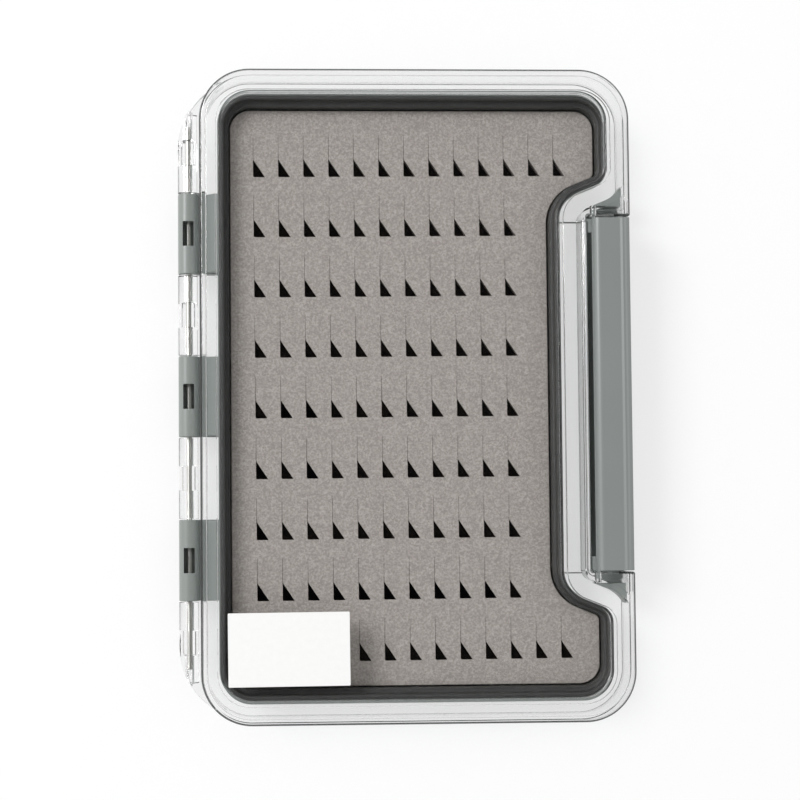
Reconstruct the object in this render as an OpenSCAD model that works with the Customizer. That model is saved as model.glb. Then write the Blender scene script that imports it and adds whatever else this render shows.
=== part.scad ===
// Slim fly box: a grey tray with slit foam under a clear hinged lid with a long side latch.
// Millimetres. X runs from the hinge to the latch, Y along the box, Z up from the table.

/* [Overall] */
// Length of the lid along the hinge
body_l = 187; // [170:1:230]
// Width of the lid from its hinge side to the latch side, without the hinge
body_w = 123.6; // [105:0.2:150]
// Height of the closed box
body_h = 18; // [17:0.5:24]
// Radius of the lid's outer corners in plan
corner_r = 14.5; // [13:0.5:18]

/* [Tray] */
// Thickness of the tray's floor
floor_t = 1.8; // [1.2:0.1:2.4]
// Thickness of the tray's walls and its gasket shelf
tray_wall = 1.6; // [1.2:0.1:1.8]
// Thickness of the tray's outer lip, which holds the gasket in
lip_t = 0.8; // [0.6:0.1:1.2]
// Height of the gasket shelf's upper face above the table
shelf_top = 10.8; // [10:0.1:12]
// Height of the tray's outer lip above the table
lip_top = 13; // [12.2:0.1:13.4]

/* [Lid] */
// Distance in plan from the lid's long edge to the gasket's outer edge
rim_w = 5.5; // [4.8:0.1:6.6]
// How much wider the rim is at the box's two short ends
end_rim = 0.5; // [0:0.1:1.5]
// Thickness of the lid's top plate at the rim
lid_t = 2; // [1.6:0.1:2.4]
// Depth of the shallow window recess in the lid's top
window_dip = 0.5; // [0.2:0.1:0.8]
// Thickness of the lid's skirt
skirt_t = 1.6; // [1.2:0.1:2]
// Height of the skirt's lower edge above the table
skirt_z = 5; // [3:0.5:6]
// Width of the rib that presses on the gasket
seal_rib_w = 1.2; // [0.8:0.1:1.6]

/* [Gasket] */
// Width of the gasket's bead
bead_w = 2.2; // [1.8:0.1:2.4]
// Height of the gasket's bead above its shelf
bead_h = 3; // [2.4:0.1:3.2]
// Thickness of the gasket's flat inner flap
flap_t = 0.8; // [0.5:0.1:1.2]
// Extra width of the flap at the box's two short ends
end_flap = 0.85; // [0:0.05:2]

/* [Foam] */
// Thickness of the grey slit sheet
foam_t = 5; // [4:0.5:5.5]
// Thickness of the black backing sheet
backing_t = 1.2; // [0.8:0.1:1.4]
// Distance between rows of cut-outs
row_pitch = 17.58; // [15:0.01:20]
// Distance between cut-outs in a row
column_pitch = 7.32; // [6:0.01:9]
// Distance from the foam's hinge side to the first cut-out
first_column = 7.32; // [5:0.01:8]
// Distance from the foam's upper end to the first cut-out
first_row = 14.57; // [13:0.01:16]
// Width of a triangular cut-out
cut_w = 3.45; // [2.5:0.05:4]
// Height of a triangular cut-out
cut_h = 5.2; // [4:0.1:6]
// Length of the slit above a cut-out
slit_l = 6.9; // [5:0.1:8]
// Width of the slit
slit_w = 0.3; // [0.2:0.1:0.5]

/* [Hinge] */
// Distance from the lid's hinge side to the pin's axis
hinge_gap = 3.4; // [3.4:0.1:4]
// Outer radius of the knuckles
knuckle_r = 3; // [2.6:0.1:3]
// Length of one knuckle
knuckle_l = 23.2; // [18:0.1:24]
// Running gap between neighbouring knuckles
knuckle_gap = 0.3; // [0.2:0.05:0.5]
// Radius of the hinge pin
pin_r = 0.75; // [0.6:0.05:1]
// Radial clearance of every running bore
bore_gap = 0.05; // [0.03:0.01:0.1]
// Length of the window in a knuckle
slot_l = 7.2; // [5:0.1:9]
// Width of the window in a knuckle
slot_w = 3.3; // [2.6:0.1:3.6]
// How far inside the hinge's ends the pin stops
pin_short = 4; // [2:0.5:8]

/* [Latch] */
// Length of the latch
latch_l = 101.2; // [80:0.2:110]
// Width of the latch's recess in the lid's long side
recess_w = 12.6; // [11.6:0.1:14]
// Distance in plan from the latch's recess to the gasket's outer edge
recess_rim = 6.6; // [6.2:0.1:7.2]
// Radius of the latch's pivot barrel
barrel_r = 1.65; // [1.5:0.05:1.8]
// Thickness of the latch's wall
latch_t = 1.6; // [1.4:0.1:2]
// Running gap between the latch and what it lies beside
latch_gap = 0.35; // [0.3:0.05:0.6]
// Radius of the latch's pivot stubs
stub_r = 0.9; // [0.7:0.05:1]
// Length of a pivot stub
stub_l = 1.9; // [1.4:0.1:2]
// How far the hook reaches under the tray's rail
hook_grip = 0.7; // [0.5:0.1:1]
// Thickness of the hook
hook_t = 1.3; // [1:0.1:1.6]
// Length at each end of the latch where the barrel is whole
barrel_end = 4; // [3:0.1:6]

/* [Label] */
// Width of the blank label
label_w = 34.8; // [20:0.1:45]
// Height of the blank label
label_h = 21; // [12:0.1:30]
// Thickness of the label
label_t = 0.15; // [0.1:0.05:0.3]

/* [Hidden] */
$fn = 48;
overlap = 0.01;                                   // joins faces of one solid
arc_steps = 10;                                   // straight steps along each rounded corner
overall_w = body_w + hinge_gap + knuckle_r;
axis_x = -overall_w / 2 + knuckle_r;
axis_z = body_h / 2;
lid_left = axis_x + hinge_gap;
lid_right = lid_left + body_w;
lid_end = body_l / 2;
lid_under = body_h - lid_t;
recess_x = lid_right - recess_w;                  // edge of the lid beside the latch

// The seal line is the gasket's outer edge. Its S curves lead it round the latch.
notch_in_r = 9;                                   // hollow curve's radius on the seal line
notch_out_r = 5;                                  // full curve's radius on the seal line
notch_slope = 22;                                 // slope of the short straight between them
hollow_inset = 0.4;                               // the curves start this far inside the latch's ends
hollow_x = recess_x - recess_rim + notch_in_r;
hollow_y = latch_l / 2 - hollow_inset;
full_x = lid_right - rim_w - notch_out_r;
full_y = hollow_y + (notch_in_r + notch_out_r + sin(notch_slope) * (full_x - hollow_x)) / cos(notch_slope);

// Offsets from the seal line, outwards positive
lip_out = lip_t;                                  // outer face of the tray
flap_w = 0.65;                                    // width of the gasket's flap at the long sides
foam_gap = 0.3;
wall_in = -bead_w - flap_w;                       // inner face of the tray's wall
foam_edge = wall_in - foam_gap;
rib_out = -(bead_w - seal_rib_w) / 2;
window_edge = 0.6;
bead_top = shelf_top + bead_h;
seal_gap = 0.05;                                  // the closed lid just kisses the bead
recess_wall_in = 3.4;                             // the lid's wall round the latch's recess
recess_wall_t = 1.6;
recess_wall_out = recess_wall_in + recess_wall_t;
rail_gap = 0.3;                                   // the rail stands this far clear of that wall
rail_in = recess_wall_out + rail_gap;

foam_z = floor_t + backing_t;
foam_left = lid_left + rim_w - foam_edge;
foam_top_end = lid_end - rim_w - end_rim + foam_edge - end_flap;
foam_right = lid_right - rim_w + foam_edge;
foam_waist = recess_x - recess_rim + foam_edge;
cut_margin = 2.4;                                 // least foam left beside a cut-out
row_count = floor((2 * foam_top_end - first_row - cut_h - cut_margin) / row_pitch) + 1;
waist_y = full_y - notch_out_r;                   // rows nearer the middle are short ones

// The hinge: knuckles of the lid and the tray take turns along the pin
knuckle_pitch = knuckle_l + knuckle_gap;
tray_knuckles = [-2, 0, 2];
lid_knuckles = [-3, -1, 1, 3];
hinge_end = 3 * knuckle_pitch + knuckle_l / 2;
pin_l = 2 * (hinge_end - pin_short);
arm_t = 3;
arm_top = axis_z - knuckle_r + arm_t;
web_t = 3.2;
skirt_relief = 1;                                 // the skirt stays this far above the tray's arms
slot_depth = 1.65;                                // how far a window goes below the pin's axis
end_web_r = 22;

// The latch and the rail that it hooks under
pivot_x = recess_x + latch_gap + barrel_r;
latch_sink = 0.1;                                 // the latch lies this far below the lid's top
pivot_z = body_h - latch_sink - barrel_r;
latch_top = pivot_z + barrel_r;
latch_bottom = 1.5;
latch_inside = lid_right - latch_t;
rail_x = latch_inside - latch_gap;
rail_under = 4.8;
rail_top = 8.5;
hook_play = 0.3;
hook_top = rail_under - hook_play;
hook_tip = rail_x - hook_grip;
groove_x = hook_tip - latch_gap;
lug_gap = latch_gap;
lug_y = latch_l / 2 + lug_gap;                    // face of the lid's lugs beside the latch
lug_t = 2;
lug_relief = 0.5;                                 // the lid's lugs end this far above the rail
rail_wall = 1.2;                                  // wall of the rail's channel beside the recess
rail_rib = 1.4;
rail_rib_top = 6.2;
rail_ribs = 3;
recess_relief = 0.8;                              // the recess wall ends this far above the ribs
recess_wall_z = rail_rib_top + recess_relief;
latch_fillet = 1.2;
post_top = 14.5;
post_inset = 1.3;                                 // the lid's skirt drifts this way as it lifts

// The label lies inside the window, clear of its rounded corner
window_in = rim_w - window_edge;
window_r = corner_r - window_in;
label_side = 2.2;
label_up = 4.9;
label_gap = 0.3;
label_in = max(label_side, window_r - sqrt(pow(window_r, 2) - pow(window_r - label_up, 2)) + label_gap);
label_x = lid_left + window_in + label_in;
label_y = -lid_end + window_in + end_rim + label_up;
label_turn = 0.2;                                 // degrees by which it was stuck on askew

// Points along a rounded corner
function arc(x, y, r, from, to) =
    [for (i = [0:arc_steps]) let (a = from + (to - from) * i / arc_steps) [x + r * cos(a), y + r * sin(a)]];

// A rounded rectangle, moved inwards from the lid's edge. Its short ends move in by pull besides.
function outline(inset, pull = 0) =
    let (
        r = corner_r - inset,
        x0 = lid_left + corner_r,
        x1 = lid_right - corner_r,
        y = lid_end - corner_r - pull
    )
    concat(arc(x1, y, r, 0, 90), arc(x0, y, r, 90, 180), arc(x0, -y, r, 180, 270), arc(x1, -y, r, 270, 360));

// The seal line, moved outwards by grow. Every ring that follows the gasket is cut from it.
function seal_line(grow, pull = 0) =
    concat(
        outline(rim_w - grow, end_rim + pull),
        arc(full_x, -full_y, notch_out_r + grow, 0, 90 - notch_slope),
        arc(hollow_x, -hollow_y, notch_in_r - grow, 270 - notch_slope, 180),
        arc(hollow_x, hollow_y, notch_in_r - grow, 180, 90 + notch_slope),
        arc(full_x, full_y, notch_out_r + grow, notch_slope - 90, 0)
    );

module slab(grow, z0, z1, pull = 0) {
    translate([0, 0, z0])
        linear_extrude(z1 - z0)
            polygon(seal_line(grow, pull));
}

module ring(outer, inner, z0, z1, pull_outer = 0, pull_inner = 0) {
    translate([0, 0, z0])
        linear_extrude(z1 - z0)
            difference() {
                polygon(seal_line(outer, pull_outer));
                polygon(seal_line(inner, pull_inner));
            }
}

module box(x0, x1, y0, y1, z0, z1) {
    translate([x0, y0, z0])
        cube([x1 - x0, y1 - y0, z1 - z0]);
}

module rod(x, z, r, y0, y1) {
    translate([x, y0, z])
        rotate([-90, 0, 0])
            cylinder(r = r, h = y1 - y0);
}

module barrel(place) {
    y = place * knuckle_pitch;
    rod(axis_x, axis_z, knuckle_r, y - knuckle_l / 2, y + knuckle_l / 2);
}

// The window that shows the pin through a knuckle
module knuckle_slot(place) {
    y = place * knuckle_pitch;
    box(axis_x - slot_w / 2, axis_x + slot_w / 2, y - slot_l / 2, y + slot_l / 2,
        axis_z - slot_depth, axis_z + knuckle_r + 1);
}

// Plan of the channel under the latch, with its corners beside the latch
module rail_plan(inset) {
    difference() {
        intersection() {
            polygon(outline(inset));
            translate([hollow_x - notch_in_r, -full_y - notch_out_r])
                square([rail_x - hollow_x + notch_in_r, 2 * (full_y + notch_out_r)]);
        }
        polygon(seal_line(rail_in));
    }
}

module rail() {
    difference() {
        union() {
            linear_extrude(tray_wall)
                rail_plan(skirt_t + latch_gap);
            // Its inner wall, its outer wall that the latch hooks under, and the covers of its ends
            linear_extrude(rail_top)
                intersection() {
                    rail_plan(skirt_t + latch_gap);
                    polygon(seal_line(rail_in + rail_wall));
                }
            linear_extrude(rail_top)
                intersection() {
                    rail_plan(skirt_t + latch_gap);
                    translate([groove_x - tray_wall, -body_l / 2])
                        square([body_w, body_l]);
                }
            translate([0, 0, rail_top - tray_wall])
                linear_extrude(tray_wall)
                    difference() {
                        rail_plan(skirt_t + latch_gap);
                        translate([0, -lug_y])
                            square([body_w, 2 * lug_y]);
                    }
            for (i = [0:rail_ribs - 1]) {
                y = (i / (rail_ribs - 1) - 0.5) * (latch_l - 4 * rail_rib);
                box(recess_x - recess_rim + wall_in + overlap, recess_x - recess_rim + rail_in + overlap,
                    y - rail_rib / 2, y + rail_rib / 2, 0, rail_rib_top);
            }
        }
        box(groove_x, rail_x + 1, -lug_y, lug_y, -1, rail_under);
    }
    // Posts that stand in the lid's corners and line it up
    translate([0, 0, rail_top - overlap])
        linear_extrude(post_top - rail_top + overlap)
            difference() {
                rail_plan(skirt_t + post_inset);
                translate([0, -lug_y - lug_t - latch_gap])
                    square([body_w, 2 * (lug_y + lug_t + latch_gap)]);
            }
}

module arm(place) {
    y = place * knuckle_pitch;
    box(axis_x, lid_left + rim_w - wall_in - overlap, y - knuckle_l / 2, y + knuckle_l / 2,
        axis_z - knuckle_r, arm_top);
}

module base() {
    color("#8a8f8c")
        difference() {
            union() {
                slab(wall_in + tray_wall / 2, 0, floor_t, end_flap);
                ring(wall_in + tray_wall, wall_in, 0, shelf_top - tray_wall + overlap, end_flap, end_flap);
                ring(lip_out, wall_in, shelf_top - tray_wall, shelf_top, 0, end_flap);
                ring(lip_out, 0, shelf_top - tray_wall, lip_top);
                rail();
                for (k = tray_knuckles) {
                    barrel(k);
                    arm(k);
                }
            }
            rod(axis_x, axis_z, pin_r + bore_gap, -hinge_end, hinge_end);
            for (k = tray_knuckles)
                knuckle_slot(k);
        }
}

module foam_backing() {
    color("#141414")
        slab(foam_edge, floor_t, foam_z, end_flap);
}

// One cut-out: a right triangle with a slit that rises from its sharp corner
module hook_cut() {
    polygon([
        [-slit_w / 2, slit_l],
        [-slit_w / 2, -cut_h],
        [cut_w, -cut_h],
        [slit_w / 2, -slit_w * cut_h / cut_w],
        [slit_w / 2, slit_l]
    ]);
}

module slit_foam() {
    color("#989490")
        translate([0, 0, foam_z])
            linear_extrude(foam_t)
                difference() {
                    polygon(seal_line(foam_edge, end_flap));
                    for (row = [0:row_count - 1]) {
                        y = foam_top_end - first_row - row * row_pitch;
                        edge = abs(y - cut_h / 2) > waist_y ? foam_right : foam_waist;
                        room = edge - foam_left - first_column - cut_w - cut_margin;
                        for (column = [0:floor(room / column_pitch)])
                            translate([foam_left + first_column + column * column_pitch, y])
                                hook_cut();
                    }
                }
}

module gasket() {
    color("#3c3c3c")
        union() {
            ring(0, -bead_w, shelf_top, bead_top);
            ring(-bead_w + overlap, wall_in, shelf_top, shelf_top + flap_t, 0, end_flap);
        }
}

module hinge_pin() {
    color("#c8c8c8")
        rod(axis_x, axis_z, pin_r, -pin_l / 2, pin_l / 2);
}

// Plan of the hinge at each end, where it curves into the lid's corner
module end_plan(side) {
    intersection() {
        translate([axis_x - knuckle_r + end_web_r, side * (hinge_end - end_web_r / 2)])
            circle(r = end_web_r);
        translate([axis_x - knuckle_r - 1, side > 0 ? hinge_end - knuckle_l : -lid_end])
            square([hinge_gap + knuckle_r + corner_r, lid_end - hinge_end + knuckle_l]);
    }
}

module end_web(side) {
    translate([0, 0, axis_z - web_t / 2])
        linear_extrude(web_t)
            difference() {
                end_plan(side);
                polygon(outline(skirt_t - overlap));
            }
}

module end_barrel(side) {
    intersection() {
        barrel(3 * side);
        linear_extrude(body_h)
            union() {
                end_plan(side);
                translate([axis_x - 2 * knuckle_r, -hinge_end + end_web_r / 2])
                    square([4 * knuckle_r, 2 * hinge_end - end_web_r]);
            }
    }
}

module lid_plan() {
    difference() {
        polygon(outline(0));
        translate([recess_x, -lug_y])
            square([recess_w + 1, 2 * lug_y]);
    }
}

module lug(side) {
    y = side > 0 ? lug_y : -lug_y - lug_t;
    box(recess_x - overlap, lid_right - skirt_t + overlap, y, y + lug_t,
        rail_top + lug_relief, lid_under + overlap);
}

module lid() {
    color([0.9, 0.93, 0.95, 0.35])
        difference() {
            union() {
                translate([0, 0, lid_under])
                    linear_extrude(lid_t)
                        lid_plan();
                translate([0, 0, skirt_z])
                    linear_extrude(lid_under - skirt_z + overlap)
                        difference() {
                            polygon(outline(0));
                            polygon(outline(skirt_t));
                            translate([recess_x, -lug_y])
                                square([recess_w + 1, 2 * lug_y]);
                        }
                intersection() {
                    ring(recess_wall_out, recess_wall_in, recess_wall_z, lid_under + overlap);
                    box(0, lid_right - skirt_t + overlap, -full_y, full_y, 0, body_h);
                }
                ring(rib_out, rib_out - seal_rib_w, bead_top + seal_gap, lid_under + overlap);
                for (side = [-1, 1]) {
                    lug(side);
                    end_web(side);
                    end_barrel(side);
                }
                for (k = [-1, 1])
                    barrel(k);
                for (k = lid_knuckles)
                    box(axis_x, lid_left + overlap,
                        k * knuckle_pitch - knuckle_l / 2, k * knuckle_pitch + knuckle_l / 2,
                        axis_z - web_t / 2, axis_z + web_t / 2);
            }
            slab(window_edge, body_h - window_dip, body_h + 1);
            rod(axis_x, axis_z, pin_r + bore_gap, -pin_l / 2 - knuckle_gap, body_l);
            for (k = lid_knuckles)
                knuckle_slot(k);
            for (k = tray_knuckles)
                box(axis_x - knuckle_r - 1, lid_left + skirt_t + 1,
                    k * knuckle_pitch - knuckle_l / 2 - knuckle_gap,
                    k * knuckle_pitch + knuckle_l / 2 + knuckle_gap,
                    0, arm_top + skirt_relief);
            rod(pivot_x, pivot_z, stub_r + bore_gap, -lug_y - lug_t - 1, lug_y + lug_t + 1);
        }
}

module label() {
    color("#fafafa")
        translate([label_x, label_y, body_h - window_dip])
            rotate([0, 0, label_turn])
                cube([label_w, label_h, label_t]);
}

module latch() {
    end = latch_l / 2;
    fillet = latch_fillet;
    color("#8a8f8c")
        difference() {
            union() {
                translate([0, end, 0])
                    rotate([90, 0, 0])
                        linear_extrude(latch_l)
                            polygon([
                                [pivot_x, latch_top - latch_t],
                                [pivot_x, latch_top],
                                [lid_right - fillet, latch_top],
                                [lid_right, latch_top - fillet],
                                [lid_right, latch_bottom + fillet / 2],
                                [lid_right - fillet / 2, latch_bottom],
                                [latch_inside, latch_bottom],
                                [latch_inside, hook_top - hook_t - fillet / 2],
                                [hook_tip, hook_top - hook_t],
                                [hook_tip, hook_top],
                                [latch_inside, hook_top],
                                [latch_inside, latch_top - latch_t - fillet],
                                [latch_inside - fillet, latch_top - latch_t]
                            ]);
                rod(pivot_x, pivot_z, barrel_r, -end, end);
                rod(pivot_x, pivot_z, stub_r, -end - lug_gap - stub_l, end + lug_gap + stub_l);
            }
            box(pivot_x - barrel_r - 1, pivot_x, barrel_end - end, end - barrel_end,
                pivot_z - barrel_r - 1, body_h + 1);
        }
}

base();
foam_backing();
slit_foam();
gasket();
hinge_pin();
lid();
label();
latch();
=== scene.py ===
"""Looks of a slim fly box: a grey tray of slit foam under a clear lid with a long side latch.

Sizes in the classes are millimetres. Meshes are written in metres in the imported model's frame: X runs
from the hinge to the latch, Y along the box and Z up from the table.
"""

import logging
import math
from collections.abc import Callable, Iterable, Sequence
from dataclasses import dataclass, field
from enum import Enum

import bmesh
import bpy
from bpy.types import ID, Material, Node, NodeSocket, NodeTree, Object
from mathutils import Euler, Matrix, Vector


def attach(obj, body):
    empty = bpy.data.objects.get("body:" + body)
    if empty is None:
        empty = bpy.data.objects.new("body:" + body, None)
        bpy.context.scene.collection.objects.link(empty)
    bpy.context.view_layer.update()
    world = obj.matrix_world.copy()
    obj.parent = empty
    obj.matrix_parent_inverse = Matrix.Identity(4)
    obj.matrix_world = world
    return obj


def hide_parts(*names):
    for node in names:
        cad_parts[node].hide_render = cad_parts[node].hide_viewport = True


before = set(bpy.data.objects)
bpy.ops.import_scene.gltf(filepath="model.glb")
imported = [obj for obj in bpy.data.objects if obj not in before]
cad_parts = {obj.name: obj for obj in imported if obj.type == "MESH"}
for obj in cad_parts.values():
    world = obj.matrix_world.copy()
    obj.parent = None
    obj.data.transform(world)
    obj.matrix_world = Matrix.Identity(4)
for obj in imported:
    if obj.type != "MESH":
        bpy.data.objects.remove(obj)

MM = 0.001
# How far solids that are joined reach into each other
SINK = 0.01
WHITE = (1.0, 1.0, 1.0, 1.0)
# Reaches of the blocks that cut right through, along Y and Z
WIDE = (-90.0, 90.0)
TALL = (-1.0, 20.0)
Point = tuple[float, float]
Outline = list[tuple[float, ...]]
Plan = Callable[..., Outline]
log = logging.getLogger("fly_box")


class Join(Enum):
    """How one solid is worked into another."""

    UNION = "UNION"
    DIFFERENCE = "DIFFERENCE"
    INTERSECT = "INTERSECT"


class Body(Enum):
    """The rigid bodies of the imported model."""

    BASE = "base"
    LID = "lid"
    LATCH = "latch"


# Colour and nodes


def linear(code: str) -> tuple[float, float, float, float]:
    """Turns an sRGB hex colour into linear light.

    Args:
        code: Six hex digits, with or without a leading hash.

    Returns:
        Linear red, green and blue, and an alpha of 1.
    """
    code = code.lstrip("#")
    parts = [int(code[i : i + 2], 16) / 255 for i in (0, 2, 4)]
    red, green, blue = (c / 12.92 if c <= 0.04045 else ((c + 0.055) / 1.055) ** 2.4 for c in parts)
    return red, green, blue, 1.0


def blend(share: Node, first: str, last: str) -> dict[int, object]:
    """Gives a colour mix its sockets: the share of the last colour, and both hex colours."""
    return {0: share, 6: linear(first), 7: linear(last)}


def per_metre(size_mm: float) -> float:
    """Gives the texture scale whose features are size_mm across."""
    return 1.0 / (size_mm * MM)


def add_node(
    tree: NodeTree, kind: str, sockets: dict[str | int, object] | None = None, **settings: object
) -> Node:
    """Adds one node with its settings, socket values and links.

    Args:
        tree: The node tree that the node goes into.
        kind: The node's type name without the ShaderNode that all begin with.
        sockets: What each input takes, by its name or number: a value, an output of another node, or another
            node, which stands for its first output.
        **settings: Properties of the node itself.

    Returns:
        The new node.
    """
    node = tree.nodes.new(f"ShaderNode{kind}")
    for name, value in settings.items():
        setattr(node, name, value)
    for key, value in (sockets or {}).items():
        source = value.outputs[0] if isinstance(value, Node) else value
        if isinstance(source, NodeSocket):
            tree.links.new(source, node.inputs[key])
        else:
            node.inputs[key].default_value = source
    return node


# Plan curves


def arc(x: float, y: float, r: float, start: float, end: float, steps: int) -> Outline:
    """Gives points along an arc in plan.

    Args:
        x: The centre's x.
        y: The centre's y.
        r: The radius.
        start: The first angle in degrees.
        end: The last angle in degrees.
        steps: How many straight steps the arc has.

    Returns:
        steps + 1 points.
    """
    angles = (math.radians(start + (end - start) * i / steps) for i in range(steps + 1))
    return [(x + r * math.cos(a), y + r * math.sin(a)) for a in angles]


def rounded(corners: Sequence[tuple[float, ...]], steps: int = 4) -> Outline:
    """Rounds the corners of a closed outline.

    Args:
        corners: Each corner's two coordinates and its radius. Further numbers pass through unchanged.
        steps: How many straight steps each rounded corner has.

    Returns:
        The outline's points, with the further numbers of the corner that each comes from.
    """
    out: Outline = []
    for i, (u, v, r, *rest) in enumerate(corners):
        here = Vector((u, v))
        to_last = (Vector(corners[i - 1][:2]) - here).normalized()
        to_next = (Vector(corners[(i + 1) % len(corners)][:2]) - here).normalized()
        half = to_last.angle(to_next) / 2
        if r <= 0 or half > math.radians(89):
            out.append((u, v, *rest))
            continue
        centre = here + (to_last + to_next).normalized() * (r / math.sin(half))
        first = here + to_last * (r / math.tan(half)) - centre
        last = here + to_next * (r / math.tan(half)) - centre
        turn = math.atan2(first.x * last.y - first.y * last.x, first.dot(last))
        for k in range(steps + 1):
            a = turn * k / steps
            x = centre.x + first.x * math.cos(a) - first.y * math.sin(a)
            y = centre.y + first.x * math.sin(a) + first.y * math.cos(a)
            out.append((x, y, *rest))
    return out


@dataclass(frozen=True)
class BoxPlan:
    """The curves in plan that the box's pieces share.

    The seal line is the gasket's outer edge. Offsets from it are positive outwards.
    """

    body_h: float = 18.0
    lid_left: float = -58.6
    lid_right: float = 65.0
    lid_end: float = 93.5
    corner_r: float = 14.5
    rim: float = 5.5
    end_rim: float = 0.5
    end_flap: float = 0.85
    seal_press: float = 0.75
    seal_pull: float = 0.85
    recess_x: float = 52.4
    recess_rim: float = 6.9
    lug_y: float = 50.95
    recess_full_r: float = 0.6
    recess_hollow_r: float = 0.5
    hollow_y: float = 50.2
    hollow_r: float = 9.0
    full_r: float = 5.0
    slope: float = 22.0
    steps: int = 24

    @property
    def hollow_x(self) -> float:
        """Centre of the seal line's hollow curves."""
        return self.recess_x - self.recess_rim + self.hollow_r

    @property
    def full_x(self) -> float:
        """Centre of the seal line's full curves."""
        return self.lid_right - self.rim - self.full_r

    @property
    def full_y(self) -> float:
        """Distance of the full curves' centres from the box's middle, along Y.

        Returns:
            The distance.
        """
        slope = math.radians(self.slope)
        run = math.sin(slope) * (self.full_x - self.hollow_x)
        return self.hollow_y + (self.hollow_r + self.full_r + run) / math.cos(slope)

    def outline(self, inset: float, pull: float = 0.0, press: float = 0.0) -> Outline:
        """Gives the lid's rounded rectangle.

        Args:
            inset: How far it moves in from the lid's edge.
            pull: How far its short ends move in besides.
            press: How far its latch side moves in besides.

        Returns:
            Its points, from the latch side round by the hinge.
        """
        r, n = self.corner_r - inset, self.steps
        left, right = self.lid_left + self.corner_r, self.lid_right - self.corner_r - press
        y = self.lid_end - self.corner_r - pull
        return (
            arc(right, y, r, 0, 90, n)
            + arc(left, y, r, 90, 180, n)
            + arc(left, -y, r, 180, 270, n)
            + arc(right, -y, r, 270, 360, n)
        )

    def seal_line(self, grow: float, pull: float = 0.0, press: float = 0.0) -> Outline:
        """Gives the gasket's outer edge, moved outwards.

        Args:
            grow: How far it moves outwards.
            pull: How far its short ends move in besides.
            press: How far its latch side moves in besides.

        Returns:
            Its points, round by the latch's recess.
        """
        n, turn = self.steps, 90 - self.slope
        full_x, hollow_x = self.full_x - press, self.hollow_x - press
        return (
            self.outline(self.rim - grow, self.end_rim + pull, press)
            + arc(full_x, -self.full_y, self.full_r + grow, 0, turn, n)
            + arc(hollow_x, -self.hollow_y, self.hollow_r - grow, 180 + turn, 180, n)
            + arc(hollow_x, self.hollow_y, self.hollow_r - grow, 180, 180 - turn, n)
            + arc(full_x, self.full_y, self.full_r + grow, -turn, 0, n)
        )

    def lid_edge(self, inset: float) -> Outline:
        """Gives the lid's edge with the latch's recess in it.

        Args:
            inset: How far it moves in from the edge.

        Returns:
            Its points.
        """
        outer, inner, y = self.lid_right - inset, self.recess_x - inset, self.lug_y + inset
        full, hollow = max(self.recess_full_r - inset, 0.02), self.recess_hollow_r + inset
        corners = [(outer, -y, full), (inner, -y, hollow), (inner, y, hollow), (outer, y, full)]
        # The two ends on the outer edge only give the corners their direction
        recess = rounded([(outer, -y - 5, 0.0), *corners, (outer, y + 5, 0.0)])
        return self.outline(inset) + recess[1:-1]


# Meshes


def link(name: str, data: ID) -> Object:
    """Makes an object of some data and links it to the scene.

    Args:
        name: The object's name.
        data: Its mesh, lamp or camera.

    Returns:
        The new object.
    """
    thing = bpy.data.objects.new(name, data)
    bpy.context.scene.collection.objects.link(thing)
    return thing


def solid(name: str, *stacks: Sequence[Sequence[Sequence[float]]], tube: bool = False) -> Object:
    """Skins stacks of rings into closed solids that make one object.

    Args:
        name: The object's name.
        *stacks: For each solid its rings of as many points each, in millimetres.
        tube: True to join each last ring to the first, False to cap both.

    Returns:
        The new object, linked to the scene.
    """
    mesh = bpy.data.meshes.new(name)
    form = bmesh.new()
    for rings in stacks:
        rows = [[form.verts.new(Vector(p) * MM) for p in ring] for ring in rings]
        pairs = list(zip(rows, rows[1:]))
        if tube:
            pairs.append((rows[-1], rows[0]))
        else:
            form.faces.new(rows[0])
            form.faces.new(rows[-1])
        for low, high in pairs:
            for i in range(len(low)):
                j = (i + 1) % len(low)
                form.faces.new((low[i], low[j], high[j], high[i]))
    bmesh.ops.recalc_face_normals(form, faces=form.faces)
    form.to_mesh(mesh)
    form.free()
    return link(name, mesh)


def stack(name: str, plan: Plan, steps: Sequence[Point]) -> Object:
    """Builds a solid whose plan changes with height.

    Args:
        name: The object's name.
        plan: Gives the outline for an inset.
        steps: Pairs of inset and height, from the bottom up.

    Returns:
        The new object.
    """
    return solid(name, [[(x, y, z) for x, y in plan(inset)] for inset, z in steps])


def edges(z0: float, z1: float, foot: float, crown: float, steps: int = 4) -> list[Point]:
    """Gives a stack's steps for a slab with rounded lower and upper edges.

    Args:
        z0: The slab's underside.
        z1: Its upper face.
        foot: Radius of the lower edge, 0 for a sharp one.
        crown: Radius of the upper edge, 0 for a sharp one.
        steps: How many straight steps each rounded edge has.

    Returns:
        Pairs of inset and height.
    """
    out: list[Point] = []
    for k in range(steps + 1 if foot else 1):
        a = math.pi / 2 * k / steps
        out.append((foot * (1 - math.sin(a)), z0 + foot * (1 - math.cos(a))))
    for k in range(steps + 1 if crown else 1):
        a = math.pi / 2 * k / steps
        out.append((crown * (1 - math.cos(a)), z1 - crown * (1 - math.sin(a))))
    return out


def sweep(name: str, plan: Plan, section: Sequence[tuple[float, ...]]) -> Object:
    """Runs a closed section round a plan curve.

    Args:
        name: The object's name.
        plan: Gives the curve for an offset, and for a pull and a press where the section has them.
        section: Corners of the section: offset, height, radius and, if given, pull and press.

    Returns:
        The new object.
    """
    rings = [[(x, y, z) for x, y in plan(e, *pull)] for e, z, *pull in rounded(section)]
    return solid(name, rings, tube=True)


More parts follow.
